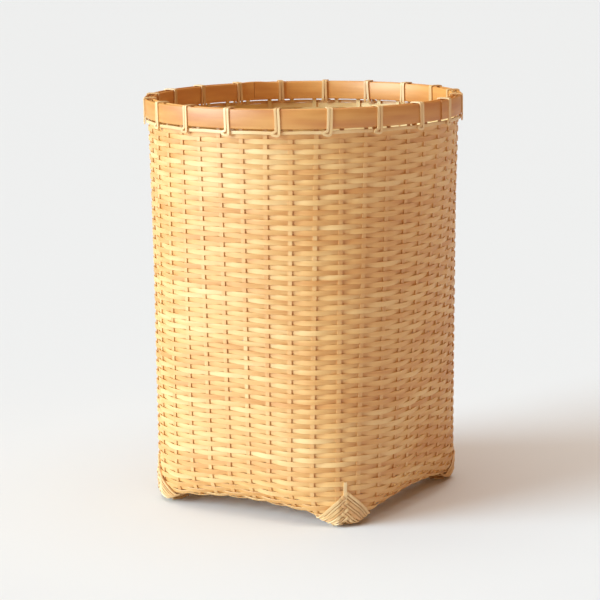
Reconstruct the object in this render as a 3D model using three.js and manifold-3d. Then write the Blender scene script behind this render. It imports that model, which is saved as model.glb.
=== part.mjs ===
// A bamboo wastebasket, square at the foot and round at the rim, in plain weave.
// Millimetres, +Z up, origin on the floor under the middle of the basket.
// Twenty split strips cross in the base and rise as forty stakes. Wefts run round them,
// over one and under one. Two hoops hold the rim, lashed with one long strip, and
// a plaited lacing covers each lower corner and is the foot there.
import * as THREE from 'three';
import { mergeVertices } from 'three/addons/utils/BufferGeometryUtils.js';
import Module from 'manifold-3d';

// Overall size
const rimRadius = 125;
const hoopTop = 317;
const hoopHeight = 14.4;

// Strips
const stakesPerSide = 10;
const stakeWidth = 3.4;
const stripThickness = 0.8;
const fitGap = 0.3;

// Wall, a square with bulging sides above the curl and round at the rim
const sideBulge = 104;
const bulgeExponent = 3.4;
const curlHeightMiddle = 27;
const curlHeightCorner = 25;
const stakeLean = 3.5;
const courseCount = 26;
const courseGap = 0.4;
const curlLevels = 3;
const twistLevels = 4;

// Base, a square inside the bulge of the wall, with its edge drawn up between the corners
const curlReach = 15;
const cornerDraw = 0.5;
const cornerInset = 1;
const baseEdgeMiddle = sideBulge - curlReach;
const baseEdgeCorner = baseEdgeMiddle - cornerDraw;
const basePitch = 2 * (baseEdgeCorner - cornerInset) / stakesPerSide;
const baseHeight = 13.5;
const cornerHeight = 6.4;
const baseDroop = 1.75;
const baseStripGap = 1;
const cornerStripGap = 4;
const neckStart = 0.5;
const neckLength = 3;

// Where a strip along X bends with the base, as parts of its half length
const baseBends = [-0.6, -0.3, 0, 0.3, 0.6];

// Handle length of a cubic curve that turns a quarter circle, as a part of its radius
const quarterRound = 0.5523;

// Rim
const outerHoopThickness = 1.9;
const innerHoopThickness = 2.2;
const lashingThickness = 0.9;
const lashingWidth = 5.6;
const lashingStations = 20;
const strandHeight = 2.6;
const strandDepth = 2.6;

// Corner lacing
const lacingThickness = 1.3;
const lacingWidth = 3.2;
const lacingSpan = 17;
const lacingRise = 33;
const lacingStrands = 2;
const lacingCurve = 1.5;
const lacingSeat = 0.75;
const soleThickness = 2;
const soleWidth = 20;
const soleLength = 17;

// Half of the sole's outline, as parts of its half width and of its length
const soleOutline = [[0.3, 0], [1, 0.4], [0.6, 1]];

const stakeCount = 4 * stakesPerSide;
const stakeAngle = 360 / stakeCount;
const halfStrip = stripThickness / 2;
const flatness = Math.cos(Math.PI / stakeCount);
const hoopOuter = (rimRadius - lashingThickness - fitGap) / flatness;
const hoopInner = hoopOuter - outerHoopThickness;
const hoopBottom = hoopTop - hoopHeight;
const stakeTop = hoopTop - 2 * fitGap;
const strandTop = hoopBottom - 1.5 * fitGap;
const strandBottom = strandTop - strandHeight;
const loopBottom = strandBottom - fitGap / 2;
const wallTop = loopBottom - courseGap;
const radians = THREE.MathUtils.degToRad;

// How far a weft swings out over a stake so that it clears the stake's edges, where the
// wall turns by an angle at the stake and the next stake is a distance away.
function swingOver(halfTurn, spacing) {
  const needed = stripThickness + fitGap + stakeWidth / 2 * Math.tan(halfTurn);
  return needed / (1 - stakeWidth / spacing);
}

const rimSpacing = 2 * hoopInner * Math.sin(radians(stakeAngle / 2));
const rimSwing = swingOver(radians(stakeAngle / 2), rimSpacing);
const stakeRadius = hoopInner - fitGap - halfStrip - rimSwing;

const wasm = await Module();
wasm.setup();

// Materials, one for each kind of strip
const bamboo = (color, roughness) => new THREE.MeshStandardMaterial({ color, roughness, metalness: 0 });
const stakeBamboo = bamboo('#e6c184', 0.6);
const weftBamboo = bamboo('#edca8f', 0.55);
const hoopBamboo = bamboo('#efc88a', 0.45);
const lashingBamboo = bamboo('#f3dcab', 0.5);

const basket = new THREE.Group();

function addPiece(name, geometry, material) {
  const mesh = new THREE.Mesh(geometry, material);
  mesh.name = name;
  basket.add(mesh);
}

function numbered(name, number) {
  return `${name}_${String(number).padStart(2, '0')}`;
}

// A strip is a row of four-cornered sections, closed into a ring or capped at both ends.
function stripGeometry(sections, closed) {
  const positions = sections.flat().flatMap((corner) => [corner.x, corner.y, corner.z]);
  const count = sections.length;
  const faces = [];
  const last = closed ? count : count - 1;
  for (let i = 0; i < last; i += 1) {
    const here = 4 * i;
    const next = 4 * ((i + 1) % count);
    for (let corner = 0; corner < 4; corner += 1) {
      const other = (corner + 1) % 4;
      faces.push(here + corner, next + corner, next + other);
      faces.push(here + corner, next + other, here + other);
    }
  }
  if (!closed) {
    const end = 4 * (count - 1);
    faces.push(0, 1, 2, 0, 2, 3);
    faces.push(end, end + 2, end + 1, end, end + 3, end + 2);
  }
  const geometry = new THREE.BufferGeometry();
  geometry.setAttribute('position', new THREE.Float32BufferAttribute(positions, 3));
  geometry.setIndex(faces);
  return outward(geometry);
}

// Turns the faces over where they point inwards.
function outward(geometry) {
  const place = geometry.getAttribute('position');
  const index = geometry.getIndex();
  const corner = [0, 1, 2].map(() => new THREE.Vector3());
  let volume = 0;
  for (let i = 0; i < index.count; i += 3) {
    corner.forEach((point, k) => point.fromBufferAttribute(place, index.getX(i + k)));
    volume += corner[0].dot(corner[1].clone().cross(corner[2]));
  }
  if (volume < 0) {
    geometry.setIndex(Array.from(index.array).reverse());
  }
  return geometry;
}

function toSolid(geometry) {
  const bare = geometry.clone();
  bare.deleteAttribute('normal');
  bare.deleteAttribute('uv');
  const merged = mergeVertices(bare, 1e-4);
  const vertProperties = new Float32Array(merged.getAttribute('position').array);
  const triVerts = new Uint32Array(merged.getIndex().array);
  return new wasm.Manifold(new wasm.Mesh({ numProp: 3, vertProperties, triVerts }));
}

function joined(geometries) {
  const solid = geometries.map(toSolid).reduce((sum, piece) => sum.add(piece));
  const mesh = solid.getMesh();
  const geometry = new THREE.BufferGeometry();
  geometry.setAttribute('position', new THREE.Float32BufferAttribute(mesh.vertProperties, 3));
  geometry.setIndex(Array.from(mesh.triVerts));
  return geometry;
}

// A place on a side of the basket: across along the side, out from the middle, and up.
function onSide(side, across, out, up) {
  const turn = side * Math.PI / 2;
  const x = across * Math.cos(turn) + out * Math.sin(turn);
  const y = across * Math.sin(turn) - out * Math.cos(turn);
  return new THREE.Vector3(x, y, up);
}

// Height of the base: level along its two middle lines and drawn down at the corners.
function baseLevel(x, y) {
  const corner = baseEdgeCorner * stakeAcross(stakesPerSide - 1);
  const nearness = (Math.abs(x * y) / corner) ** baseDroop;
  return THREE.MathUtils.lerp(baseHeight, cornerHeight, nearness);
}

// How far out the base ends under a stake, and how far out the wall stands above it.
function stakeSpread(across) {
  const cornerness = (across / (basePitch * stakesPerSide / 2)) ** 2;
  const edge = THREE.MathUtils.lerp(baseEdgeMiddle, baseEdgeCorner, cornerness);
  const wall = sideBulge * (1 - Math.abs(across / sideBulge) ** bulgeExponent) ** (1 / bulgeExponent);
  const curl = THREE.MathUtils.lerp(curlHeightMiddle, curlHeightCorner, cornerness);
  return { edge, wall, curl };
}

function stakeAcross(place) {
  return (place - (stakesPerSide - 1) / 2) * basePitch;
}

// The middle line of one upright arm: a curl up from the base edge, then straight to the
// rim, where it turns upright between the hoops.
function stakePath(ordinal) {
  const side = Math.floor(ordinal / stakesPerSide);
  const across = stakeAcross(ordinal % stakesPerSide);
  const { edge, wall, curl } = stakeSpread(across);
  const level = baseLevel(across, edge);
  const angle = radians((ordinal % stakesPerSide - (stakesPerSide - 1) / 2) * stakeAngle + stakeLean);
  const start = onSide(side, across, edge, level);
  const curlEnd = onSide(side, across, wall, level + curl);
  const neck = onSide(side, stakeRadius * Math.sin(angle), stakeRadius * Math.cos(angle), wallTop);
  const rise = neck.clone().sub(curlEnd).normalize();
  const outwards = onSide(side, 0, 1, 0);
  const path = new THREE.CurvePath();
  path.add(new THREE.CubicBezierCurve3(
    start,
    start.clone().addScaledVector(outwards, quarterRound * (wall - edge)),
    curlEnd.clone().addScaledVector(rise, -quarterRound * curl),
    curlEnd,
  ));
  path.add(new THREE.LineCurve3(curlEnd, neck));
  return path;
}

const stakePaths = Array.from({ length: stakeCount }, (_, ordinal) => stakePath(ordinal));

// A stake bends at the course levels of its curl and again under the rim, level
// courseCount, and ends one level higher inside the rim.
function stakeLevel(ordinal, level) {
  const path = stakePaths[(ordinal + stakeCount) % stakeCount];
  const point = path.getPoint(Math.min(level / courseCount, 1));
  if (level > courseCount) {
    point.z = stakeTop;
  }
  return point;
}

// The swing of a weft at a bend, from the turn of the wall there, and a little more where
// the strips twist in the curl.
function wallSwing(ordinal, level) {
  const here = stakeLevel(ordinal, level);
  const before = here.clone().sub(stakeLevel(ordinal - 1, level));
  const after = stakeLevel(ordinal + 1, level).sub(here);
  const spacing = Math.min(before.length(), after.length());
  const twist = 2 * fitGap * Math.max(1 - level / twistLevels, 0);
  return swingOver(before.angleTo(after) / 2, spacing) + twist;
}

// Directions at a bend: up the stake, across its face, and out of the basket with the
// length that keeps a strip beside it parallel on both sides of the bend.
function bendFrame(ordinal, level) {
  const outwards = onSide(Math.floor(ordinal / stakesPerSide), 0, 1, 0);
  const middle = stakeLevel(ordinal, level);
  const up = new THREE.Vector3(0, 0, 1);
  const above = level > courseCount ? up : stakeLevel(ordinal, level + 1).sub(middle).normalize();
  const below = level === 0 ? outwards : middle.clone().sub(stakeLevel(ordinal, level - 1)).normalize();
  const along = above.clone().add(below).normalize();
  const around = stakeLevel(ordinal + 1, level).sub(stakeLevel(ordinal - 1, level));
  const out = around.cross(along).normalize();
  const across = along.clone().cross(out);
  out.multiplyScalar(1 / along.dot(above));
  return { middle, along, across, out, swing: wallSwing(ordinal, level) };
}

const bendFrames = Array.from({ length: stakeCount }, (_, ordinal) => (
  Array.from({ length: courseCount + 2 }, (__, level) => bendFrame(ordinal, level))
));

// The same directions at any height counted in courses, 0 at the base edge.
function stakeFrame(ordinal, course) {
  const frames = bendFrames[(ordinal + stakeCount) % stakeCount];
  const level = Math.min(Math.floor(course), courseCount);
  const part = course - level;
  const blend = (key) => frames[level][key].clone().lerp(frames[level + 1][key], part);
  const swing = THREE.MathUtils.lerp(frames[level].swing, frames[level + 1].swing, part);
  return { middle: blend('middle'), across: blend('across'), out: blend('out'), swing };
}

function offset(middle, ...moves) {
  const point = middle.clone();
  moves.forEach(([direction, distance]) => point.addScaledVector(direction, distance));
  return point;
}

// The course that lies at a height inside the rim.
function courseInRim(height) {
  return courseCount + (height - wallTop) / (stakeTop - wallTop);
}

// Weft courses: closed rings that pass outside one stake and inside the next.
function weftRing(parity, lowAt, highAt) {
  const sections = [];
  for (let ordinal = 0; ordinal < stakeCount; ordinal += 1) {
    const face = (ordinal + parity) % 2 === 1 ? 1 : -1;
    const low = stakeFrame(ordinal, lowAt(ordinal));
    const high = stakeFrame(ordinal, highAt(ordinal));
    sections.push([
      offset(low.middle, [low.out, face * low.swing - halfStrip]),
      offset(low.middle, [low.out, face * low.swing + halfStrip]),
      offset(high.middle, [high.out, face * high.swing + halfStrip]),
      offset(high.middle, [high.out, face * high.swing - halfStrip]),
    ]);
  }
  return stripGeometry(sections, true);
}

// Half the gap between two courses, in courses. It widens where neighbouring stakes
// lean apart, because the courses cross there on a twist.
function halfGap(ordinal, level) {
  const here = bendFrames[ordinal][level];
  const twist = [ordinal - 1, ordinal + 1].map((next) => {
    const there = bendFrames[(next + stakeCount) % stakeCount][level];
    return Math.abs(here.out.clone().sub(there.out).dot(here.along));
  });
  const gap = (courseGap + (here.swing + halfStrip) * Math.max(...twist)) / 2;
  return gap * courseCount / stakePaths[ordinal].getLength();
}

function addWefts() {
  for (let course = 0; course < courseCount; course += 1) {
    const lowAt = (ordinal) => course + halfGap(ordinal, course);
    const highAt = (ordinal) => course + 1 - halfGap(ordinal, course + 1);
    const ring = weftRing(course, lowAt, highAt);
    addPiece(numbered('weft_course', course + 1), ring, weftBamboo);
  }
  const rimLow = () => courseInRim(hoopBottom);
  const rimHigh = () => courseInRim(stakeTop);
  addPiece('weft_rim', weftRing(courseCount, rimLow, rimHigh), weftBamboo);
}

// Sections of one upright arm of a stake, from the base edge to its top.
function armSections(ordinal) {
  const courses = [];
  for (let course = 0; course <= curlLevels; course += 1) {
    courses.push(course);
  }
  courses.push(courseCount, courseCount + 1);
  return courses.map((course) => {
    const { middle, across, out } = stakeFrame(ordinal, course);
    return rectangle(middle, across, out, stakeWidth / 2);
  });
}

function rectangle(middle, across, out, halfWidth) {
  return [
    offset(middle, [across, -halfWidth], [out, -halfStrip]),
    offset(middle, [across, halfWidth], [out, -halfStrip]),
    offset(middle, [across, halfWidth], [out, halfStrip]),
    offset(middle, [across, -halfWidth], [out, halfStrip]),
  ];
}

// A section of a strip in the base. It lies along the slope of the base across its width.
function baseSection(alongX, along, across, halfWidth, lift) {
  const corner = (side, edge) => {
    const at = across + side * halfWidth;
    const level = alongX ? baseLevel(along, at) : baseLevel(at, along);
    const up = level + lift + edge * halfStrip;
    return alongX ? new THREE.Vector3(along, at, up) : new THREE.Vector3(at, along, up);
  };
  return [corner(-1, 1), corner(1, 1), corner(1, -1), corner(-1, -1)];
}

// Turned end for end, a section of the far arm joins the strip without a twist.
function flipped(section) {
  return [section[1], section[0], section[3], section[2]];
}

// Strips along X lie flat in the base, each a narrow stake from rim to rim.
function addStakesAlongX() {
  for (let place = 0; place < stakesPerSide; place += 1) {
    const across = stakeAcross(place);
    const { edge } = stakeSpread(across);
    const nearArm = armSections(3 * stakesPerSide + stakesPerSide - 1 - place);
    const farArm = armSections(stakesPerSide + place);
    const base = baseBends.map((part) => (
      baseSection(true, part * edge, across, stakeWidth / 2, 0)
    ));
    const sections = [...nearArm.reverse().map(flipped), ...base, ...farArm];
    addPiece(numbered('stake_x', place + 1), stripGeometry(sections, false), stakeBamboo);
  }
}

const baseSwing = swingOver(0, basePitch) + fitGap / 2;

// Strips along Y spread in the base and pass over and under the ones along X.
function addStakesAlongY() {
  for (let place = 0; place < stakesPerSide; place += 1) {
    const across = stakeAcross(place);
    const atCorner = place === 0 || place === stakesPerSide - 1;
    const spread = (basePitch - (atCorner ? cornerStripGap : baseStripGap)) / 2;
    const outermost = stakeAcross(stakesPerSide - 1);
    const swingAt = (crossing) => ((crossing + place) % 2 === 0 ? baseSwing : -baseSwing);
    const wideEnd = outermost + stakeWidth / 2 + neckStart;
    const neck = wideEnd + neckLength;
    const endSections = (sign, swing) => [
      baseSection(false, sign * wideEnd, across, spread, swing),
      baseSection(false, sign * neck, across, stakeWidth / 2, swing / 2),
    ];
    const crossings = [];
    for (let crossing = 0; crossing < stakesPerSide; crossing += 1) {
      crossings.push(baseSection(false, stakeAcross(crossing), across, spread, swingAt(crossing)));
    }
    const base = [
      ...endSections(-1, swingAt(0)).reverse(),
      ...crossings,
      ...endSections(1, swingAt(stakesPerSide - 1)),
    ];
    const nearArm = armSections(place).reverse();
    const farArm = armSections(2 * stakesPerSide + stakesPerSide - 1 - place).map(flipped);
    const sections = [...nearArm, ...base, ...farArm];
    addPiece(numbered('stake_y', place + 1), stripGeometry(sections, false), stakeBamboo);
  }
}

// Rim: a closed profile turned round the axis, with a corner of the ring at each stake.
function ringGeometry(inner, outer, low, high) {
  const profile = [
    new THREE.Vector2(inner, low),
    new THREE.Vector2(outer, low),
    new THREE.Vector2(outer, high),
    new THREE.Vector2(inner, high),
    new THREE.Vector2(inner, low),
  ];
  const ring = new THREE.LatheGeometry(profile, stakeCount);
  ring.rotateX(Math.PI / 2);
  ring.rotateZ(radians(stakeLean + stakeAngle / 2));
  return outward(mergeVertices(bareGeometry(ring), 1e-4));
}

function bareGeometry(geometry) {
  geometry.deleteAttribute('normal');
  geometry.deleteAttribute('uv');
  return geometry;
}

const innerHoopOuter = stakeRadius - rimSwing - halfStrip - fitGap;
const innerHoopInner = innerHoopOuter - innerHoopThickness;

function addHoops() {
  const outer = ringGeometry(hoopInner, hoopOuter, hoopBottom, hoopTop);
  const inner = ringGeometry(innerHoopInner, innerHoopOuter, hoopBottom, hoopTop);
  addPiece('rim_outer_hoop', outer, hoopBamboo);
  addPiece('rim_inner_hoop', inner, hoopBamboo);
}

// One loop of the lashing, cut in the radial plane and as wide as its two turns side by side.
function lashingLoop() {
  const outside = rimRadius;
  const inside = innerHoopInner * flatness - fitGap - lashingThickness;
  const loopLow = strandTop + fitGap / 2;
  const top = hoopTop + fitGap + lashingThickness;
  const cut = lashingThickness;
  const outline = new THREE.Shape([
    new THREE.Vector2(outside, loopBottom),
    new THREE.Vector2(outside, top - cut),
    new THREE.Vector2(outside - cut, top),
    new THREE.Vector2(inside + cut, top),
    new THREE.Vector2(inside, top - cut),
    new THREE.Vector2(inside, loopBottom),
  ]);
  outline.holes.push(new THREE.Path([
    new THREE.Vector2(outside - lashingThickness, loopLow),
    new THREE.Vector2(outside - lashingThickness, hoopTop + fitGap),
    new THREE.Vector2(inside + lashingThickness, hoopTop + fitGap),
    new THREE.Vector2(inside + lashingThickness, loopLow),
  ]));
  const loop = new THREE.ExtrudeGeometry(outline, { depth: lashingWidth, bevelEnabled: false });
  loop.translate(0, 0, -lashingWidth / 2);
  loop.rotateX(Math.PI / 2);
  return loop;
}

function addLashing() {
  const strandInner = stakeRadius + halfStrip + 2 * fitGap;
  const strand = ringGeometry(strandInner, strandInner + strandDepth, strandBottom, strandTop);
  const loops = [];
  for (let station = 0; station < lashingStations; station += 1) {
    const angle = radians(station * 360 / lashingStations + stakeLean);
    loops.push(lashingLoop().rotateZ(angle));
  }
  addPiece('rim_lashing', joined([strand, ...loops]), lashingBamboo);
}

// Corner lacing. Strands cross the ridge of a corner, spread down both faces and turn under
// the base edge, where a sole joins them. A spine runs up the ridge where they are plaited.

// A place beside the weave near a corner, unrolled: sideways from the ridge and up from the
// base edge, both in millimetres.
function onCorner(corner, sideways, height, distance) {
  const ridge = corner * stakesPerSide + stakesPerSide - 0.5;
  const nearest = Math.floor(ridge);
  const course = height * courseCount / stakePaths[nearest].getLength();
  const facet = cornerFacet(corner, course);
  const beyond = Math.max(Math.abs(sideways) - facet / 2, 0) / basePitch;
  const within = Math.min(Math.abs(sideways), facet / 2) / facet;
  const ordinal = ridge + Math.sign(sideways) * (within + beyond);
  const lower = Math.floor(ordinal);
  const [from, to] = [lower, lower + 1].map((place) => {
    const { middle, out, swing } = stakeFrame(place, course);
    return offset(middle, [out, swing + halfStrip + distance]);
  });
  return from.lerp(to, ordinal - lower);
}

// Width of the flat between the two stakes beside a corner.
function cornerFacet(corner, course) {
  const last = corner * stakesPerSide + stakesPerSide - 1;
  return stakeFrame(last, course).middle.distanceTo(stakeFrame(last + 1, course).middle);
}

function lacingSection(corner, sideways, low, high) {
  const near = lacingSeat;
  const far = near + lacingThickness;
  return [
    onCorner(corner, sideways, low, near),
    onCorner(corner, sideways, low, far),
    onCorner(corner, sideways, high, far),
    onCorner(corner, sideways, high, near),
  ];
}

// One strand down one face, steep at the ridge and flatter towards the base edge.
function lacingStrand(corner, direction, span, rise) {
  const bend = cornerFacet(corner, 1) / 2;
  const stations = [0, bend / 2, bend, (bend + span) / 2, span].filter((sideways) => sideways <= span);
  const sections = stations.map((sideways) => {
    const middle = rise * (1 - sideways / span) ** lacingCurve;
    const low = Math.max(middle - lacingWidth * (1 - sideways / span / 2), 0);
    return lacingSection(corner, direction * sideways, low, low + lacingWidth * (2 - sideways / span));
  });
  return stripGeometry(sections, false);
}

// The spine is laid from the sole to above the top strand, as a strand's end that stands up.
function lacingSpine(corner) {
  const heights = [0, lacingRise / 3, 2 * lacingRise / 3, lacingRise + 2 * lacingWidth];
  const near = 2 * fitGap;
  const far = near + lacingThickness + 2 * fitGap;
  const sections = heights.map((height) => [
    onCorner(corner, -lacingWidth / 2, height, near),
    onCorner(corner, -lacingWidth / 2, height, far),
    onCorner(corner, lacingWidth / 2, height, far),
    onCorner(corner, lacingWidth / 2, height, near),
  ]);
  return stripGeometry(sections, false);
}

// The sole under a corner is flat and stands on the floor.
function lacingSole(corner) {
  const front = onCorner(corner, 0, 0, 2 * fitGap + lacingThickness);
  const out = front.clone().setZ(0).normalize();
  const sideways = new THREE.Vector3(-out.y, out.x, 0);
  const mirrored = soleOutline.map(([across, back]) => [-across, back]).reverse();
  const turns = [...soleOutline, ...mirrored];
  const outline = new THREE.Shape(turns.map(([across, back]) => {
    const spot = offset(front, [sideways, across * soleWidth / 2], [out, -back * soleLength]);
    return new THREE.Vector2(spot.x, spot.y);
  }));
  return new THREE.ExtrudeGeometry(outline, { depth: soleThickness, bevelEnabled: false });
}

function addLacings() {
  for (let corner = 0; corner < 4; corner += 1) {
    const strands = [];
    for (let strand = 1; strand <= lacingStrands; strand += 1) {
      const part = strand / lacingStrands;
      strands.push(lacingStrand(corner, 1, lacingSpan * part, lacingRise * part));
      strands.push(lacingStrand(corner, -1, lacingSpan * part, lacingRise * part));
    }
    const lacing = joined([lacingSole(corner), lacingSpine(corner), ...strands]);
    addPiece(`foot_lacing_${corner + 1}`, lacing, lashingBamboo);
  }
}

addWefts();
addStakesAlongX();
addStakesAlongY();
addHoops();
addLashing();
addLacings();

export default basket;
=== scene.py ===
import bisect
import math
import random

import bmesh
import bpy
from mathutils import Matrix, Vector


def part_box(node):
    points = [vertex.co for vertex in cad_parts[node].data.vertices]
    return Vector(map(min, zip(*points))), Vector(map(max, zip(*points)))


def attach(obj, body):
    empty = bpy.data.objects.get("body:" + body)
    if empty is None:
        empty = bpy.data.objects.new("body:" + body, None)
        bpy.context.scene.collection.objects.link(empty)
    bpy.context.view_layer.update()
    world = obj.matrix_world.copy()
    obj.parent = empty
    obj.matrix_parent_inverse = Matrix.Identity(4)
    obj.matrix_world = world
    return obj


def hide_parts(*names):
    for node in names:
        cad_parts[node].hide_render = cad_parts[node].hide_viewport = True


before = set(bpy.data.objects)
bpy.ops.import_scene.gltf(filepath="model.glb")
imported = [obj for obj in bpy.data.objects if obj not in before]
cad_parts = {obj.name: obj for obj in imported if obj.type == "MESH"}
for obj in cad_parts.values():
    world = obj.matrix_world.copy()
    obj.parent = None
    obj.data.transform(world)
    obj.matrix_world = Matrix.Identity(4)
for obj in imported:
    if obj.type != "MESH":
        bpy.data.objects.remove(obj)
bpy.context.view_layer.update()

# Stakes, the ribs of the basket. Twenty strips of split bamboo, planed flat, cross in the
# base, bend up at its edge and end between the hoops of the rim. Four narrower strips lie
# beside each of the ten that run along Y, in the base only.
MM = 0.001
PER_SIDE = 10
STAKES = 4 * PER_SIDE
COURSES = 26
STAKE_ANGLE = math.radians(9)
STAKE_WIDTH = 3.4 * MM
STRIP_THICKNESS = 0.8 * MM
BASE_PITCH = 17.5 * MM
BASE_EDGE_MIDDLE = 89 * MM
BASE_EDGE_CORNER = 88.5 * MM
BASE_HEIGHT = 13.5 * MM
CORNER_HEIGHT = 6.4 * MM
BASE_DROOP = 1.75
SIDE_BULGE = 104 * MM
BULGE_EXPONENT = 3.4
CURL_MIDDLE = 27 * MM
CURL_CORNER = 25 * MM
QUARTER_ROUND = 0.5523
LEAN = math.radians(3.5)
NECK_RADIUS = 120.1 * MM
WALL_TOP = 299 * MM
STAKE_TOP = 316.4 * MM
BASE_SWING = 1.2 * MM
PLAIN_BASE_STEPS = 20
WOVEN_BASE_STEPS = 60
FILLER_PITCH = 3.3 * MM
FILLER_WIDTH = 3 * MM
FILLER_PLACES = (-2, -1, 1, 2)
CORNER_CUT = 12 * MM
CURVE_POINTS = 40
TANGENT_REACH = 0.3
DOWN = Vector((0, 0, -1))

chance = random.Random(11)


def stake_across(place):
    """How far along its side a stake stands, from the side's middle."""
    return (place - (PER_SIDE - 1) / 2) * BASE_PITCH


def on_side(side, across, out, up):
    """A place on one of the four sides: along it, out from the middle, and up."""
    turn = side * math.pi / 2
    x = across * math.cos(turn) + out * math.sin(turn)
    y = across * math.sin(turn) - out * math.cos(turn)
    return Vector((x, y, up))


def base_level(x, y):
    """Height of the base, which is drawn down towards its corners."""
    corner = BASE_EDGE_CORNER * stake_across(PER_SIDE - 1)
    nearness = (abs(x * y) / corner) ** BASE_DROOP
    return BASE_HEIGHT + (CORNER_HEIGHT - BASE_HEIGHT) * nearness


def cornerness(across):
    """Nought at the middle of a side and one at its corners."""
    return (across / (BASE_PITCH * PER_SIDE / 2)) ** 2


def base_edge(across):
    """How far out the base ends under a stake."""
    return BASE_EDGE_MIDDLE + (BASE_EDGE_CORNER - BASE_EDGE_MIDDLE) * cornerness(across)


def stake_line(ordinal):
    """Points up a stake's middle line, with the length up to each: a curl, then straight."""
    side, place = divmod(ordinal, PER_SIDE)
    across = stake_across(place)
    edge = base_edge(across)
    wall = SIDE_BULGE * (1 - abs(across / SIDE_BULGE) ** BULGE_EXPONENT) ** (1 / BULGE_EXPONENT)
    curl = CURL_MIDDLE + (CURL_CORNER - CURL_MIDDLE) * cornerness(across)
    level = base_level(across, edge)
    angle = (place - (PER_SIDE - 1) / 2) * STAKE_ANGLE + LEAN
    start = on_side(side, across, edge, level)
    bend = on_side(side, across, wall, level + curl)
    neck = on_side(side, NECK_RADIUS * math.sin(angle), NECK_RADIUS * math.cos(angle), WALL_TOP)
    rise = (neck - bend).normalized()
    first = start + on_side(side, 0, 1, 0) * QUARTER_ROUND * (wall - edge)
    second = bend - rise * QUARTER_ROUND * curl
    points = []
    for step in range(CURVE_POINTS + 1):
        t = step / CURVE_POINTS
        s = 1 - t
        points.append(start * s ** 3 + first * 3 * s * s * t + second * 3 * s * t * t + bend * t ** 3)
    points.append(neck)
    lengths = [0]
    for here, following in zip(points, points[1:]):
        lengths.append(lengths[-1] + (following - here).length)
    return points, lengths


STAKE_LINES = [stake_line(ordinal) for ordinal in range(STAKES)]


def stake_point(ordinal, level):
    """The middle of a stake at a height counted in courses."""
    points, lengths = STAKE_LINES[ordinal % STAKES]
    target = min(level / COURSES, 1) * lengths[-1]
    after = min(max(bisect.bisect_left(lengths, target), 1), len(points) - 1)
    part = (target - lengths[after - 1]) / (lengths[after] - lengths[after - 1])
    point = points[after - 1].lerp(points[after], part)
    point.z += max(level - COURSES, 0) * (STAKE_TOP - WALL_TOP)
    return point


def stake_outward(ordinal, level):
    """The direction out of the basket at a stake, down at the base edge and out at the wall."""
    around = stake_point(ordinal + 1, level) - stake_point(ordinal - 1, level)
    below = stake_point(ordinal, max(level - TANGENT_REACH, 0))
    along = stake_point(ordinal, level + TANGENT_REACH) - below
    return around.cross(along).normalized()


def strip_section(thickness):
    """A strip's section: flat, with the skin side crowned a little and its edges eased.
    Each place is given across, as a share of the width, and out from the middle."""
    return [
        (-0.5, 0),
        (-0.47, -0.5 * thickness),
        (0.47, -0.5 * thickness),
        (0.5, 0),
        (0.46, 0.42 * thickness),
        (0, 0.5 * thickness),
        (-0.46, 0.42 * thickness),
    ]


def new_strips():
    """An empty mesh for strips, with a place for their UV and for the tone of each one."""
    strips = bmesh.new()
    strips.loops.layers.uv.new("fibre")
    strips.verts.layers.float.new("tone")
    return strips


# Each strip takes its grain from its own place in a pattern this many metres wide. Points
# this near to the section's innermost one belong to its inner face.
PATTERN_ROOM = 20
INNER_SHARE = 0.9
BLANKS = {}


def strip_blank(section, steps, closed):
    """A section spun into a ring or an arc. Like strips are copies of one such blank."""
    key = (tuple(section), steps, closed)
    if key not in BLANKS:
        blank = new_strips()
        corners = [blank.verts.new((1 + out, 0, side)) for side, out in section]
        sides = [blank.edges.new(pair) for pair in zip(corners, corners[1:] + corners[:1])]
        bmesh.ops.spin(blank, geom=corners + sides, cent=(0, 0, 0), axis=(0, 0, 1),
                       angle=2 * math.pi if closed else math.pi, steps=steps,
                       use_merge=closed, use_duplicate=False)
        if not closed:
            ends = [edge for edge in blank.edges if edge.is_boundary]
            bmesh.ops.holes_fill(blank, edges=ends, sides=len(section))
        BLANKS[key] = bpy.data.meshes.new("strip_blank")
        blank.to_mesh(BLANKS[key])
        blank.free()
    return BLANKS[key]


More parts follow.
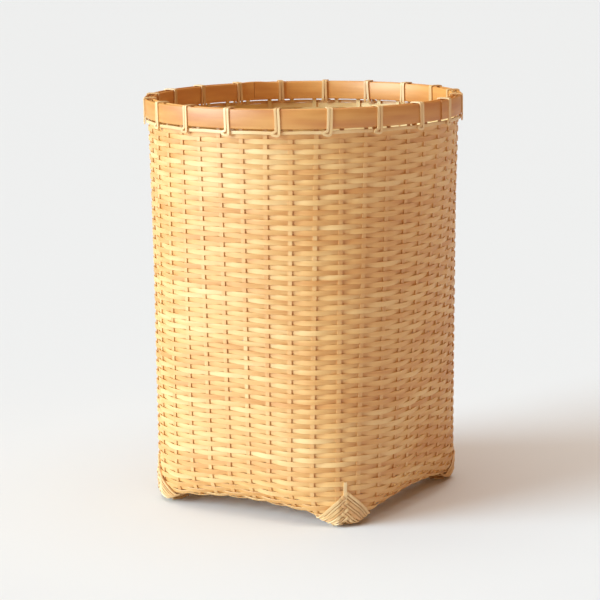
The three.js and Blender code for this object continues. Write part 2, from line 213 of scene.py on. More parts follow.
def lay_strip(strips, centres, outwards, section, widths, closed=False, pith_and_painted_light=False):
    """Adds a strip and lays it along its own course. Its inner faces may take the pith material,
    whose paler colour is partly painted light.
    """
    count = len(centres)
    steps = count if closed else count - 1
    turn = 2 * math.pi if closed else math.pi
    first_vert = len(strips.verts)
    first_face = len(strips.faces)
    strips.from_mesh(strip_blank(section, steps, closed))
    strips.verts.ensure_lookup_table()
    strips.faces.ensure_lookup_table()
    uv = strips.loops.layers.uv["fibre"]
    tone = strips.verts.layers.float["tone"]

    across = []
    lengths = [0]
    for k in range(count):
        before = centres[k - 1] if closed or k > 0 else centres[0]
        after = centres[(k + 1) % count] if closed or k < count - 1 else centres[k]
        across.append(outwards[k].cross(after - before).normalized())
        lengths.append(lengths[-1] + (centres[(k + 1) % count] - centres[k]).length)
    own_tone = chance.random()
    shift = Vector((chance.uniform(0, PATTERN_ROOM), chance.uniform(0, PATTERN_ROOM)))
    innermost = min(out for _, out in section)
    inner = set()
    spot = {}
    for vert in strips.verts[first_vert:]:
        x, y, side = vert.co
        k = round((math.atan2(y, x) % (2 * math.pi)) / turn * steps) % count
        spot[vert] = (k, side)
        vert[tone] = own_tone
        out = math.hypot(x, y) - 1
        if out < INNER_SHARE * innermost:
            inner.add(vert)
        vert.co = centres[k] + across[k] * side * widths[k] + outwards[k] * out
    for face in strips.faces[first_face:]:
        # Inner faces take the pith material: partly the pith's own colour, partly painted light on
        # the inside of the basket.
        face.material_index = int(pith_and_painted_light and inner.issuperset(face.verts))
        stations = [spot[loop.vert][0] for loop in face.loops]
        wraps = closed and max(stations) - min(stations) > 1
        for loop, k in zip(face.loops, stations):
            along = lengths[-1] if wraps and k == 0 else lengths[k]
            loop[uv].uv = shift + Vector((along, spot[loop.vert][1] * widths[k]))


SHARP_ANGLE = math.radians(35)


def finish_piece(name, strips, materials, nodes):
    """Turns the strips into a piece that rides on the basket and stands for its CAD nodes."""
    bmesh.ops.recalc_face_normals(strips, faces=strips.faces)
    mesh = bpy.data.meshes.new(name)
    strips.to_mesh(mesh)
    strips.free()
    mesh.shade_smooth()
    mesh.set_sharp_from_angle(angle=SHARP_ANGLE)
    for material in materials:
        mesh.materials.append(material)
    piece = bpy.data.objects.new(name, mesh)
    bpy.context.scene.collection.objects.link(piece)
    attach(piece, "root")
    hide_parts(*nodes)


def to_linear(code):
    """An sRGB hex colour as linear red, green, blue and alpha."""
    parts = [int(code[i:i + 2], 16) / 255 for i in (1, 3, 5)]
    return [c / 12.92 if c <= 0.04045 else ((c + 0.055) / 1.055) ** 2.4 for c in parts] + [1]


def add_node(tree, kind, values=None, links=None, **settings):
    """Adds a node, sets it and joins its sockets."""
    made = tree.nodes.new(kind)
    for key, value in settings.items():
        setattr(made, key, value)
    for socket, value in (values or {}).items():
        made.inputs[socket].default_value = value
    for socket, source in (links or {}).items():
        tree.links.new(source, made.inputs[socket])
    return made


FIBRE_LENGTH = 40 * MM
PATCH_LENGTH = 70 * MM
PATCH_WIDTH = 9 * MM
TONE_SHARE = 0.16
FIBRE_SHARE = 0.2
PATCH_SHARE = 0.85
DEEP_AT = 0.41
MIDDLE_AT = 0.61
PALE_AT = 0.81
FIBRE_RELIEF = 0.1 * MM


def split_bamboo(name, deep, middle, pale, roughness, fibre_width):
    """Split bamboo: fine fibres along the strip, soft patches, and a tone for each strip.
    The bundles of fibres in bamboo are a few tenths of a millimetre wide."""
    material = bpy.data.materials.new(name)
    material.use_nodes = True
    tree = material.node_tree
    tree.nodes.clear()
    coordinates = add_node(tree, "ShaderNodeUVMap", uv_map="fibre").outputs["UV"]
    drawn = add_node(tree, "ShaderNodeMapping", {"Scale": (1 / FIBRE_LENGTH, 1 / fibre_width, 1)},
                     {"Vector": coordinates})
    fibres = add_node(tree, "ShaderNodeTexNoise", {"Scale": 1, "Detail": 3, "Roughness": 0.6},
                      {"Vector": drawn.outputs["Vector"]})
    # The patches come from the uneven colour of the culm.
    wide = add_node(tree, "ShaderNodeMapping", {"Scale": (1 / PATCH_LENGTH, 1 / PATCH_WIDTH, 1)},
                    {"Vector": coordinates})
    patches = add_node(tree, "ShaderNodeTexNoise", {"Scale": 1, "Detail": 2},
                       {"Vector": wide.outputs["Vector"]})
    tone = add_node(tree, "ShaderNodeAttribute", attribute_name="tone")
    own = add_node(tree, "ShaderNodeMath", {1: TONE_SHARE}, {0: tone.outputs["Fac"]},
                   operation="MULTIPLY")
    grain = add_node(tree, "ShaderNodeMath", {1: FIBRE_SHARE},
                     {0: fibres.outputs["Fac"], 2: own.outputs["Value"]}, operation="MULTIPLY_ADD")
    total = add_node(tree, "ShaderNodeMath", {1: PATCH_SHARE},
                     {0: patches.outputs["Fac"], 2: grain.outputs["Value"]}, operation="MULTIPLY_ADD")
    ramp = add_node(tree, "ShaderNodeValToRGB", links={"Fac": total.outputs["Value"]})
    ramp.color_ramp.elements[0].position = DEEP_AT
    ramp.color_ramp.elements[0].color = to_linear(deep)
    ramp.color_ramp.elements[1].position = PALE_AT
    ramp.color_ramp.elements[1].color = to_linear(pale)
    ramp.color_ramp.elements.new(MIDDLE_AT).color = to_linear(middle)
    bump = add_node(tree, "ShaderNodeBump", {"Strength": 0.35, "Distance": FIBRE_RELIEF},
                    {"Height": fibres.outputs["Fac"]})
    shader = add_node(tree, "ShaderNodeBsdfPrincipled",
                      {"Roughness": roughness, "IOR": 1.5, "Specular IOR Level": 1},
                      {"Base Color": ramp.outputs["Color"], "Normal": bump.outputs["Normal"]})
    add_node(tree, "ShaderNodeOutputMaterial", links={"Surface": shader.outputs["BSDF"]})
    return material


# The pith side of a strip, which faces the inside of the basket, is softer and duller than its skin.
# Its paler colour is partly the pith's own and partly painted light, standing in for the daylight
# that lights the inner wall. The skin side of a stake, split and planed, has a satin straw colour.
pith_and_painted_light_bamboo = split_bamboo("split_bamboo_pith_and_painted_light", "#eec57c", "#f6d690", "#fbe2a6",
                           roughness=0.6, fibre_width=0.4 * MM)
stake_bamboo = split_bamboo("split_bamboo_stake", "#da9a54", "#e8b069", "#f0c280",
                            roughness=0.5, fibre_width=0.35 * MM)

# A stake has four stations to a course where it bends up, and one to a course above that.
CURL_COURSES = 4
CURL_STEPS = 4
CURL_LEVELS = [step / CURL_STEPS for step in range(CURL_COURSES * CURL_STEPS + 1)]
WALL_LEVELS = list(range(CURL_COURSES + 1, COURSES + 2))
flat_strip = strip_section(STRIP_THICKNESS)


def lay_stake(strips, near, far, base):
    """A stake from rim to rim: down one arm, through the base and up the other arm."""
    levels = CURL_LEVELS + WALL_LEVELS
    centres = [stake_point(near, level) for level in reversed(levels)] + base
    centres += [stake_point(far, level) for level in levels]
    outwards = [stake_outward(near, level) for level in reversed(levels)] + [DOWN] * len(base)
    outwards += [stake_outward(far, level) for level in levels]
    lay_strip(strips, centres, outwards, flat_strip, [STAKE_WIDTH] * len(centres), pith_and_painted_light=True)


def crossing_swing(along, place):
    """How far a strip along Y is lifted where it passes over and under the ones along X."""
    crossing = along / BASE_PITCH + (PER_SIDE - 1) / 2
    sign = 1 if place % 2 == 0 else -1
    beyond = max(-crossing, crossing - (PER_SIDE - 1), 0)
    return sign * BASE_SWING * math.cos(math.pi * crossing) * max(1 - 2 * beyond, 0)


def woven_base_point(x, y, place):
    """A place in the base on a strip along Y, lifted or sunk by what it crosses."""
    return Vector((x, y, base_level(x, y) + crossing_swing(y, place)))


for place in range(PER_SIDE):
    across = stake_across(place)
    edge = base_edge(across)
    strips = new_strips()
    steps = range(1 - PLAIN_BASE_STEPS, PLAIN_BASE_STEPS)
    stations = [edge * step / PLAIN_BASE_STEPS for step in steps]
    base = [Vector((x, across, base_level(x, across))) for x in stations]
    lay_stake(strips, 4 * PER_SIDE - 1 - place, PER_SIDE + place, base)
    name = f"stake_x_{place + 1:02d}"
    finish_piece(f"bamboo_{name}", strips, [stake_bamboo, pith_and_painted_light_bamboo], [name])

for place in range(PER_SIDE):
    across = stake_across(place)
    edge = base_edge(across)
    strips = new_strips()
    steps = range(1 - WOVEN_BASE_STEPS, WOVEN_BASE_STEPS)
    stations = [edge * step / WOVEN_BASE_STEPS for step in steps]
    base = [woven_base_point(across, y, place) for y in stations]
    lay_stake(strips, place, 3 * PER_SIDE - 1 - place, base)
    for number in FILLER_PLACES:
        x = across + number * FILLER_PITCH
        within = min(BASE_EDGE_MIDDLE + BASE_EDGE_CORNER - CORNER_CUT - abs(x), edge)
        centres = [woven_base_point(x, y, place) for y in stations if abs(y) < within]
        lay_strip(strips, centres, [DOWN] * len(centres), flat_strip,
                  [FILLER_WIDTH] * len(centres), pith_and_painted_light=True)
    name = f"stake_y_{place + 1:02d}"
    finish_piece(f"bamboo_{name}", strips, [stake_bamboo, pith_and_painted_light_bamboo], [name])

# Wefts, thin strips of split bamboo woven round the stakes, over one and under one, with
# each row beaten down on the last. Three rows stand in the place of each course of the CAD.
ROWS_PER_COURSE = 3
STEPS_TO_NEXT_STAKE = 6
WEFT_THICKNESS = 0.55 * MM
WEFT_SWING = 0.92 * MM
SWING_RANGE = (0.9, 1.1)
HEIGHT_AT_STAKE = 1.06
HEIGHT_BETWEEN = 1.02

# Thin split bamboo with its skin side out: a satin honey colour that varies from strip to
# strip, because each comes from another part of the culm.
weft_bamboo = split_bamboo("split_bamboo_weft", "#d99447", "#e9b166", "#f2c683",
                           roughness=0.5, fibre_width=0.4 * MM)


def curve_between(a, b, c, d, t):
    """A smooth curve from b to c that also heeds the points before and after."""
    return 0.5 * (2 * b + (c - a) * t + (2 * a - 5 * b + 4 * c - d) * t ** 2
                  + (3 * b - a - 3 * c + d) * t ** 3)


weft_section = strip_section(WEFT_THICKNESS)


def lay_weft(strips, parity, level, rows):
    """One row: outside one stake and inside the next, all the way round."""
    middles = [stake_point(g, level) for g in range(STAKES)]
    heights = [STAKE_LINES[g][1][-1] * rows / (COURSES * ROWS_PER_COURSE) for g in range(STAKES)]
    outs = [stake_outward(g, level) for g in range(STAKES)]
    swings = [WEFT_SWING * chance.uniform(*SWING_RANGE) for _ in range(STAKES)]
    centres = []
    outwards = []
    widths = []
    for g in range(STAKES):
        face = 1 if (g + parity) % 2 == 1 else -1
        following = (g + 1) % STAKES
        for step in range(STEPS_TO_NEXT_STAKE):
            t = step / STEPS_TO_NEXT_STAKE
            phase = math.cos(math.pi * t)
            out = outs[g].lerp(outs[following], t).normalized()
            swing = swings[g] + (swings[following] - swings[g]) * t
            middle = curve_between(middles[g - 1], middles[g], middles[following],
                                   middles[(g + 2) % STAKES], t)
            centres.append(middle + out * face * swing * phase)
            outwards.append(out)
            share = HEIGHT_BETWEEN + (HEIGHT_AT_STAKE - HEIGHT_BETWEEN) * min(2 * abs(phase), 1)
            widths.append((heights[g] + (heights[following] - heights[g]) * t) * share)
    lay_strip(strips, centres, outwards, weft_section, widths, closed=True, pith_and_painted_light=True)


for course in range(COURSES):
    strips = new_strips()
    for part in range(ROWS_PER_COURSE):
        row = course * ROWS_PER_COURSE + part
        lay_weft(strips, row + 1, (row + 0.5) / ROWS_PER_COURSE, 1)
    name = f"weft_course_{course + 1:02d}"
    finish_piece(f"bamboo_{name}", strips, [weft_bamboo, pith_and_painted_light_bamboo], [name])

# Rim weft, the last one. It is a wider strip of the same split bamboo, woven round the ends
# of the stakes, where the two hoops hide and grip it.
HOOP_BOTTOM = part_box("rim_outer_hoop")[0].z
HOOP_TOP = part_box("rim_outer_hoop")[1].z
RIM_WEFT_ROWS = 3.4

rim_weft_level = COURSES + ((HOOP_BOTTOM + STAKE_TOP) / 2 - WALL_TOP) / (STAKE_TOP - WALL_TOP)
strips = new_strips()
lay_weft(strips, COURSES, rim_weft_level, RIM_WEFT_ROWS)
finish_piece("bamboo_weft_rim", strips, [weft_bamboo, pith_and_painted_light_bamboo], ["weft_rim"])

# Hoops, two wide bands of split bamboo that grip the stakes' ends, one outside and one
# inside. They are planed, their edges are rounded, and each is bent round to a splice.
OUTER_HOOP_RADIUS = 123.1 * MM
OUTER_HOOP_THICKNESS = 1.7 * MM
INNER_HOOP_RADIUS = 116.8 * MM
INNER_HOOP_THICKNESS = 2 * MM
HOOP_STATIONS = 160
HOOP_JOINT = 0.4 * MM
OUTER_JOINT_ANGLE = math.radians(-3)
INNER_JOINT_ANGLE = math.radians(141)
WEDGE_REACH = math.radians(7)
WEDGE_HEIGHT = 1.1 * MM
LAP_REACH = math.radians(12)
LAP_DEPTH = 0.85 * MM

# Bamboo split thick and planed below its skin, which gives a deep amber colour and a duller gloss.
# The inner hoop has a paler copy of these colours, which is painted light standing in for the
# daylight that falls on the inside of the rim.
hoop_bamboo = split_bamboo("planed_bamboo_hoop", "#c87930", "#d68e3e", "#e3a353",
                           roughness=0.52, fibre_width=0.5 * MM)
painted_lit_inner_hoop_bamboo = split_bamboo("planed_bamboo_inner_hoop_painted_lit", "#d78837", "#e49b47", "#efb05d",
                                 roughness=0.52, fibre_width=0.5 * MM)


def band_section(thickness, height):
    """A band's section, flat on both faces, with rounded edges. Each place is given across,
    as a share of the height, and out from the middle."""
    round_part = 0.5 * thickness / height
    half = 0.5 * thickness
    return [
        (-0.5, -0.2 * half), (-0.5 + 0.4 * round_part, -0.8 * half), (-0.5 + round_part, -half),
        (0.5 - round_part, -half), (0.5 - 0.4 * round_part, -0.8 * half), (0.5, -0.2 * half),
        (0.5, 0.2 * half), (0.5 - 0.4 * round_part, 0.8 * half), (0.5 - round_part, half),
        (-0.5 + round_part, half), (-0.5 + 0.4 * round_part, 0.8 * half), (-0.5, 0.2 * half),
    ]


def lay_hoop(name, material, radius, thickness, start, wedge, lap):
    """A band bent round until its ends meet. At the splice a wedge lifts its upper edge,
    or its first end stands proud of its last."""
    angles = [start + 2 * math.pi * step / HOOP_STATIONS for step in range(HOOP_STATIONS + 1)]
    angles[-1] -= HOOP_JOINT / radius
    outwards = [Vector((math.cos(angle), math.sin(angle), 0)) for angle in angles]
    centres = []
    widths = []
    for out, angle in zip(outwards, angles):
        away = min(angle - start, start + 2 * math.pi - angle) / WEDGE_REACH
        raised = wedge * max(1 - away * away, 0)
        proud = lap * max(1 - (angle - start) / LAP_REACH, 0)
        widths.append(HOOP_TOP - HOOP_BOTTOM + raised)
        centres.append(out * (radius + proud) + Vector((0, 0, HOOP_BOTTOM + widths[-1] / 2)))
    strips = new_strips()
    lay_strip(strips, centres, outwards, band_section(thickness, HOOP_TOP - HOOP_BOTTOM), widths)
    finish_piece(f"bamboo_{name}", strips, [material], [name])


lay_hoop("rim_outer_hoop", hoop_bamboo,
         OUTER_HOOP_RADIUS, OUTER_HOOP_THICKNESS, OUTER_JOINT_ANGLE, 0, LAP_DEPTH)
lay_hoop("rim_inner_hoop", painted_lit_inner_hoop_bamboo,
         INNER_HOOP_RADIUS, INNER_HOOP_THICKNESS, INNER_JOINT_ANGLE, WEDGE_HEIGHT, 0)

# Lashing, one long strip of peeled bamboo. It runs along under the outer hoop, and at twenty
# stations it is hooked under itself, taken over both hoops twice and pulled tight, so that
# its two sides stand apart outside and draw together inside.
STATIONS = 20
STRAND_WIDTH = 2 * MM
STRAND_THICKNESS = 0.9 * MM
STRAND_SPREAD = 1.15 * MM
STRAND_OUTSIDE = 124.45 * MM
STRAND_INSIDE = 115 * MM
STRAND_TOP = 317.6 * MM
STRAND_LOW = 300.6 * MM
HOOK_LOW = 298 * MM
HOOK_REACH = 4.2 * MM
RUNNING_RADIUS = 122.5 * MM
RUNNING_LEVEL = 300 * MM
RUNNING_HEIGHT = 2.5 * MM
RUNNING_THICKNESS = 1.6 * MM
RUNNING_SAG = 0.2 * MM
LOOP_EASE = 1 * MM
LOOP_STEPS = 5
LOOP_TIGHTNESS = 0.3

# Each loop leans, bows and opens a little of its own, by millimetres between these.
LOOP_LEAN = (-0.6, 0.6)
LOOP_BOW = (-0.3, 0.3)
LOOP_OPENING = (-0.2, 0.5)

# Bamboo peeled of its outer skin, which leaves a pale cream strip with a soft gloss.
lashing_bamboo = split_bamboo("peeled_bamboo_lashing", "#dfa767", "#edc283", "#f5d39c",
                              roughness=0.5, fibre_width=0.35 * MM)


def lay_loop(strips, angle):
    """The lashing at one station: down outside, hooked round, up again, and over inside."""
    radial = Vector((math.cos(angle), math.sin(angle), 0))
    around = Vector((-math.sin(angle), math.cos(angle), 0))
    lean = chance.uniform(*LOOP_LEAN) * MM
    bow = chance.uniform(*LOOP_BOW) * MM
    apart = chance.uniform(*LOOP_OPENING) * MM
    spread = STRAND_SPREAD
    ease = LOOP_EASE
    middle = (STRAND_LOW + STRAND_TOP) / 2
    # Each row is a radius, a height, a distance to the side, and which way the strip faces,
    # as parts out and up.
    turns = [
        (STRAND_INSIDE + ease, STRAND_LOW, spread + apart, -1, -0.4),
        (STRAND_INSIDE, STRAND_LOW + 2 * ease, spread + apart, -1, 0),
        (STRAND_INSIDE, middle, spread, -1, 0),
        (STRAND_INSIDE, STRAND_TOP - ease, 0.9 * spread, -1, 0),
        (STRAND_INSIDE + ease, STRAND_TOP, spread, -0.3, 1),
        (STRAND_OUTSIDE - ease, STRAND_TOP, spread, 0.3, 1),
        (STRAND_OUTSIDE, STRAND_TOP - ease, spread, 1, 0),
        (STRAND_OUTSIDE, middle, spread + bow, 1, 0),
        (STRAND_OUTSIDE, STRAND_LOW + ease, spread, 1, 0),
        (STRAND_OUTSIDE, HOOK_LOW + 0.6 * MM, 0.7 * spread, 1, -0.2),
        (STRAND_OUTSIDE, HOOK_LOW, -spread, 1, -0.2),
        (STRAND_OUTSIDE, HOOK_LOW + 0.9 * MM, -HOOK_REACH, 1, 0),
        (STRAND_OUTSIDE, HOOK_LOW + 2.4 * MM, -0.8 * HOOK_REACH, 1, 0.2),
        (STRAND_OUTSIDE, STRAND_LOW + ease, -1.15 * spread, 1, 0),
        (STRAND_OUTSIDE, middle, -spread + bow, 1, 0),
        (STRAND_OUTSIDE, STRAND_TOP - ease, -spread, 1, 0),
        (STRAND_OUTSIDE - ease, STRAND_TOP, -spread, 0.3, 1),
        (STRAND_INSIDE + ease, STRAND_TOP, -spread, -0.3, 1),
        (STRAND_INSIDE, STRAND_TOP - ease, -0.9 * spread, -1, 0),
        (STRAND_INSIDE, middle, -spread, -1, 0),
        (STRAND_INSIDE, STRAND_LOW + 2 * ease, -spread - apart, -1, 0),
        (STRAND_INSIDE + ease, STRAND_LOW, -spread - apart, -1, -0.4),
    ]
    points = []
    faces = []
    for r, z, side, out, up in turns:
        slant = lean * (STRAND_TOP - z) / (STRAND_TOP - STRAND_LOW)
        points.append(radial * r + around * (side + slant) + Vector((0, 0, z)))
        faces.append((radial * out + Vector((0, 0, up))).normalized())
    centres = []
    outwards = []
    for k in range(len(turns)):
        after = (k + 1) % len(turns)
        beyond = (k + 2) % len(turns)
        for step in range(LOOP_STEPS):
            t = step / LOOP_STEPS
            smooth = curve_between(points[k - 1], points[k], points[after], points[beyond], t)
            straight = points[k].lerp(points[after], t)
            centres.append(smooth.lerp(straight, LOOP_TIGHTNESS))
            outwards.append(faces[k].lerp(faces[after], t).normalized())
    section = strip_section(STRAND_THICKNESS)
    lay_strip(strips, centres, outwards, section, [STRAND_WIDTH] * len(centres), closed=True)


strips = new_strips()
for station in range(STATIONS):
    lay_loop(strips, 2 * math.pi * station / STATIONS + LEAN)
angles = [2 * math.pi * step / HOOP_STATIONS for step in range(HOOP_STATIONS)]
outwards = [Vector((math.cos(angle), math.sin(angle), 0)) for angle in angles]
levels = [RUNNING_LEVEL - RUNNING_SAG * math.cos(STATIONS * (angle - LEAN)) for angle in angles]
centres = [out * RUNNING_RADIUS + Vector((0, 0, level)) for out, level in zip(outwards, levels)]
lay_strip(strips, centres, outwards, strip_section(RUNNING_THICKNESS),
          [RUNNING_HEIGHT] * HOOP_STATIONS, closed=True)
finish_piece("bamboo_rim_lashing", strips, [lashing_bamboo], ["rim_lashing"])

# Corner lacing, the four feet, in the same peeled bamboo as the lashing. Pairs of strips run
# from a plait on each corner's ridge down both faces, where they are tucked into the weave.
# Short rows behind them close the corner down to the floor, and a sole of strips lies under it.
LACING_PAIRS = 4
LACING_RISE = 19.5 * MM
LACING_STEP = 6.4 * MM
LACING_SLOPE = 0.95
LACING_ASIDE = 2.5 * MM
LACING_THICKNESS = 1.1 * MM
LACING_STATION = 0.9 * MM
PLAITED_WIDTH = 2.35 * MM
SECOND_WIDTH = 1.3 * MM
SECOND_BELOW = 3.25 * MM
SECOND_END = 1 * MM
PLAIT_STEP = 0.5 * LACING_STEP / LACING_SLOPE
PLAIT_END = 1.5 * MM
PLAIT_CROSSINGS = 2
PLAIT_TUCK = 0.4 * MM
PLAIT_LIFT = 0.8 * MM
PLAIT_WAVE = 0.5 * MM
TUCK_STATIONS = 2
TUCK_STEP = 1.1 * MM
TUCK_DEPTH = 2.2 * MM
STRAND_END = -7.5 * MM
STRAND_REACH = 19 * MM
STRAND_CURVE = 1.3
TOE_START = 3 * MM
TOE_END = -8 * MM
TOE_DEPTH = 7 * MM
TOE_LEVEL = 0.6 * LACING_THICKNESS
TOE_CLIMB = 6.5 * MM
TOE_SHORTENING = 3.5 * MM
TOE_SPREAD = 33 * MM
TOE_CURVE = 1.7
ROW_TURNS = (0.25, 0.56, 0.87)
ROW_WIDTH = 3.7 * MM
ROW_REACH = 30 * MM
ROW_SWING = 0.35 * MM
ROW_SINK = 1.1 * MM
ROW_HALF_STEPS = 20
STAKE_HALF_STEP = BASE_PITCH / 2
SPINE_START = 15 * MM
SPINE_RISE = 29.5 * MM
SPINE_WIDTH = 2.6 * MM
SPINE_STEPS = 8
SOLE_STRIPS = 5
SOLE_WIDTH = 2.7 * MM
SOLE_PITCH = 3.2 * MM
SOLE_START = 7.5 * MM
SOLE_LENGTH = 14 * MM
SOLE_SHORTENING = 3 * MM
SOLE_LEVEL = 0.5 * LACING_THICKNESS + 0.1 * MM
SOLE_STEPS = 6

lacing_section = strip_section(LACING_THICKNESS)


def on_corner(corner, sideways, height, distance):
    """A place on the weave beside a corner: sideways from the plait, up, and off the weave."""
    ridge = corner * PER_SIDE + PER_SIDE - 0.5
    last = int(ridge)
    level = height * COURSES / STAKE_LINES[last % STAKES][1][-1]
    facet = (stake_point(last, level) - stake_point(last + 1, level)).length
    sideways -= LACING_ASIDE
    beyond = max(abs(sideways) - facet / 2, 0) / BASE_PITCH
    within = min(abs(sideways), facet / 2) / facet
    ordinal = ridge + math.copysign(within + beyond, sideways)
    lower = math.floor(ordinal)
    part = ordinal - lower
    here, there = (stake_outward(g, level) for g in (lower, lower + 1))
    point = stake_point(lower, level).lerp(stake_point(lower + 1, level), part)
    out = here.lerp(there, part).normalized()
    return point + out * (WEFT_SWING + STRIP_THICKNESS / 2 + distance), out


def toe_end(sideways):
    """The height, followed round the foot, at which the toe has turned level."""
    return TOE_END + TOE_SHORTENING * (abs(sideways) / TOE_SPREAD) ** TOE_CURVE


def on_toe(corner, sideways, height, distance):
    """As on_corner, but below a height the foot leaves the weave and rounds under to the floor."""
    if height >= TOE_START:
        return on_corner(corner, sideways, height, distance)
    top, out = on_corner(corner, sideways, TOE_START, distance)
    round_part = min((TOE_START - height) / (TOE_START - toe_end(sideways)), 1) * math.pi / 2
    bottom = TOE_LEVEL + TOE_CLIMB * (abs(sideways) / TOE_SPREAD) ** TOE_CURVE
    bottom += max(PLAIT_LIFT + PLAIT_WAVE - distance, 0)
    inward = Vector((-top.x, -top.y, 0)).normalized()
    point = top + inward * TOE_DEPTH * (1 - math.cos(round_part))
    point.z = top.z - (top.z - bottom) * math.sin(round_part)
    return point, out.lerp(DOWN, math.sin(round_part)).normalized()


def lay_course(strips, course, section, widths):
    """Lays a strip along places that each hold a point and the direction out of it."""
    points, outwards = zip(*course)
    lay_strip(strips, points, outwards, section, widths)


def lay_lacing_strip(strips, corner, side, pair, second):
    """A strip from the weave under one face up to the ridge. The first of a pair is plaited
    there, and the second ends under the plait."""
    rise = LACING_RISE - LACING_STEP * pair + (LACING_STEP / 2 if side > 0 else 0)
    rise -= SECOND_BELOW if second else 0
    first = 0
    while rise - LACING_SLOPE * first > STRAND_END * (1 - (first / STRAND_REACH) ** STRAND_CURVE):
        first += LACING_STATION / 4
    crossings = min(pair + (0 if side > 0 else 1), PLAIT_CROSSINGS)
    last = -(PLAIT_STEP + PLAIT_END * crossings) / 2
    if second or crossings == 0:
        last = SECOND_END
    count = max(math.ceil((first - last) / LACING_STATION), 2)
    course = []
    for station in range(-TUCK_STATIONS, count + 1):
        sideways = first + (last - first) * station / count
        if station < 0:
            sideways = first - TUCK_STEP * station
        turn = math.sin(math.pi * sideways / PLAIT_STEP)
        plaited = 0 if second else max(1 - max(sideways / PLAIT_STEP - 1, 0), 0)
        distance = PLAIT_LIFT - PLAIT_WAVE * turn * plaited
        distance -= TUCK_DEPTH * max(-station / TUCK_STATIONS, 0) ** 2
        ended = max(-sideways - PLAIT_STEP / 2, 0) / PLAIT_END
        distance -= (PLAIT_LIFT + PLAIT_WAVE + PLAIT_TUCK) * ended ** 2
        course.append(on_toe(corner, side * sideways, rise - LACING_SLOPE * sideways, distance))
    width = SECOND_WIDTH if second else PLAITED_WIDTH
    lay_course(strips, course, lacing_section, [width] * len(course))


def lay_corner_row(strips, corner, number):
    """A short row of the weave, round the corner under the last weft."""
    course = []
    widths = []
    for step in range(-ROW_HALF_STEPS, ROW_HALF_STEPS + 1):
        sideways = ROW_REACH * step / ROW_HALF_STEPS
        span = TOE_START - toe_end(sideways)
        swing = ROW_SWING * math.cos(math.pi * (sideways / STAKE_HALF_STEP + number))
        sunk = ROW_SINK + TUCK_DEPTH * max(abs(sideways) / ROW_REACH * 2 - 1, 0) ** 2
        course.append(on_toe(corner, sideways, TOE_START - span * ROW_TURNS[number], swing - sunk))
        widths.append(ROW_WIDTH * span / (TOE_START - TOE_END))
    lay_course(strips, course, weft_section, widths)


for corner in range(4):
    strips = new_strips()
    for pair in range(LACING_PAIRS):
        for side in (-1, 1):
            for second in (False, True):
                lay_lacing_strip(strips, corner, side, pair, second)
    for number in range(len(ROW_TURNS)):
        lay_corner_row(strips, corner, number)
    spine = []
    for step in range(SPINE_STEPS + 1):
        height = SPINE_START + (SPINE_RISE - SPINE_START) * step / SPINE_STEPS
        spine.append(on_corner(corner, 0, height, PLAIT_LIFT))
    lay_course(strips, spine, lacing_section, [SPINE_WIDTH] * len(spine))
    front = on_corner(corner, 0, 0, 0)[0]
    back = Vector((-front.x, -front.y, 0)).normalized()
    beside = Vector((-back.y, back.x, 0))
    for strip in range(SOLE_STRIPS):
        aside = strip - (SOLE_STRIPS - 1) / 2
        start = front + back * SOLE_START + beside * aside * SOLE_PITCH
        start.z = SOLE_LEVEL
        reach = SOLE_LENGTH - abs(aside) * SOLE_SHORTENING
        sole = [(start + back * reach * step / SOLE_STEPS, DOWN) for step in range(SOLE_STEPS + 1)]
        lay_course(strips, sole, lacing_section, [SOLE_WIDTH] * len(sole))
    name = f"foot_lacing_{corner + 1}"
    finish_piece(f"bamboo_{name}", strips, [lashing_bamboo], [name])

# The blanks have been copied into every strip, and no piece uses them any more.
for blank in BLANKS.values():
    bpy.data.meshes.remove(blank)

# Floor and light. The floor is a plain pale sheet of matt paper. Cool daylight comes low from
# the left of the camera, a soft lamp hangs overhead, and the room gives back a warm glow.
FLOOR_HALF = 20

floor_mesh = bpy.data.meshes.new("floor")
sheet = bmesh.new()
bmesh.ops.create_grid(sheet, x_segments=1, y_segments=1, size=FLOOR_HALF)
sheet.to_mesh(floor_mesh)
sheet.free()
floor = bpy.data.objects.new("floor", floor_mesh)
bpy.context.scene.collection.objects.link(floor)

# Uncoated paper, which has almost no gloss and keeps a soft shadow.
floor_paper = bpy.data.materials.new("pale_paper")
floor_paper.use_nodes = True
paper_shader = floor_paper.node_tree.nodes["Principled BSDF"]
paper_shader.inputs["Base Color"].default_value = to_linear("#eaebeb")
paper_shader.inputs["Roughness"].default_value = 0.9
paper_shader.inputs["Specular IOR Level"].default_value = 0.2
floor_mesh.materials.append(floor_paper)

world = bpy.data.worlds.new("soft_daylight")
world.use_nodes = True
tree = world.node_tree
tree.nodes.clear()
# The room lights the basket, and the camera sees a pale backdrop in its place. The colours
# of light here are linear already.
room = add_node(tree, "ShaderNodeBackground", {"Color": (1, 0.48, 0.22, 1), "Strength": 0.26})
backdrop = add_node(tree, "ShaderNodeBackground", {"Color": to_linear("#ebedec"), "Strength": 1})
ray = add_node(tree, "ShaderNodeLightPath")
seen = add_node(tree, "ShaderNodeMixShader", links={0: ray.outputs["Is Camera Ray"],
                                                    1: room.outputs["Background"],
                                                    2: backdrop.outputs["Background"]})
add_node(tree, "ShaderNodeOutputWorld", links={"Surface": seen.outputs["Shader"]})
bpy.context.scene.world = world


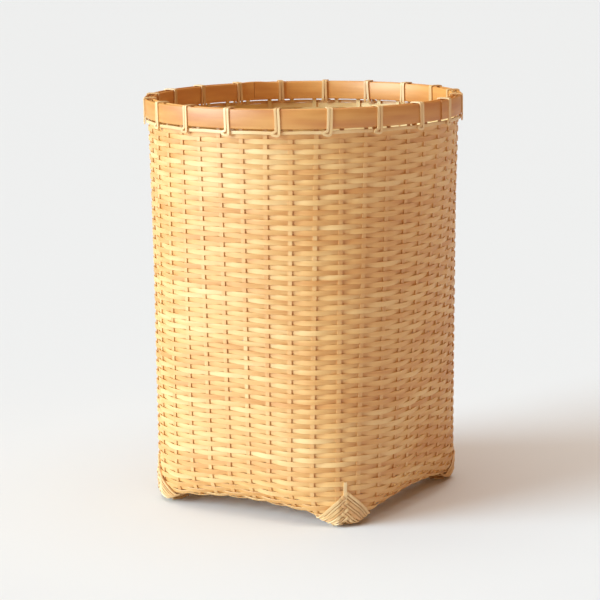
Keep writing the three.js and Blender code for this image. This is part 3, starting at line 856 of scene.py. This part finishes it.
def add_sun(name, azimuth, height, spread, energy, colour):
    """A soft lamp, as seen from the basket: how far round from the front, how high and how
    wide, in degrees, with its energy and its colour."""
    lamp = bpy.data.lights.new(name, "SUN")
    lamp.energy = energy
    lamp.angle = math.radians(spread)
    lamp.color = colour
    holder = bpy.data.objects.new(name, lamp)
    bpy.context.scene.collection.objects.link(holder)
    azimuth = math.radians(azimuth)
    height = math.radians(height)
    toward = Vector((math.sin(azimuth) * math.cos(height),
                     -math.cos(azimuth) * math.cos(height),
                     math.sin(height)))
    holder.rotation_mode = "QUATERNION"
    holder.rotation_quaternion = toward.to_track_quat("Z", "Y")


add_sun("window", azimuth=-39, height=16, spread=42, energy=5.4, colour=(0.635, 0.85, 1))
add_sun("ceiling", azimuth=0, height=88, spread=60, energy=1.68, colour=(0.94, 1, 0.98))

# Camera. It stands where the photograph was taken, 1.7 m from the basket and a little above
# its rim. Its place was fitted to the ellipse of the rim and to the outline.
CAMERA_DISTANCE = 1694.1 * MM
CAMERA_HEIGHT = 471.4 * MM
CAMERA_AZIMUTH = math.radians(30.5)
CAMERA_PAN = -0.0027
CAMERA_TILT = 0.1855
CAMERA_ROLL = -0.0137
SENSOR_WIDTH = 36
FOCAL_PIXELS = 2168.2
IMAGE_PIXELS = 600

lens = bpy.data.cameras.new("camera")
lens.sensor_width = SENSOR_WIDTH
lens.lens = SENSOR_WIDTH * FOCAL_PIXELS / IMAGE_PIXELS
camera = bpy.data.objects.new("camera", lens)
bpy.context.scene.collection.objects.link(camera)
camera.location = (CAMERA_DISTANCE * math.sin(CAMERA_AZIMUTH),
                   -CAMERA_DISTANCE * math.cos(CAMERA_AZIMUTH),
                   CAMERA_HEIGHT)
heading = CAMERA_PAN - CAMERA_AZIMUTH
sight = Vector((math.sin(heading) * math.cos(CAMERA_TILT),
                math.cos(heading) * math.cos(CAMERA_TILT),
                -math.sin(CAMERA_TILT)))
level = Vector((math.cos(heading), -math.sin(heading), 0))
above = level.cross(sight)
right = math.cos(CAMERA_ROLL) * level + math.sin(CAMERA_ROLL) * above
camera.rotation_mode = "QUATERNION"
turned = Matrix((right, right.cross(sight), -sight)).transposed()
camera.rotation_quaternion = turned.to_quaternion()
bpy.context.scene.camera = camera
bpy.context.scene.view_settings.view_transform = "Standard"
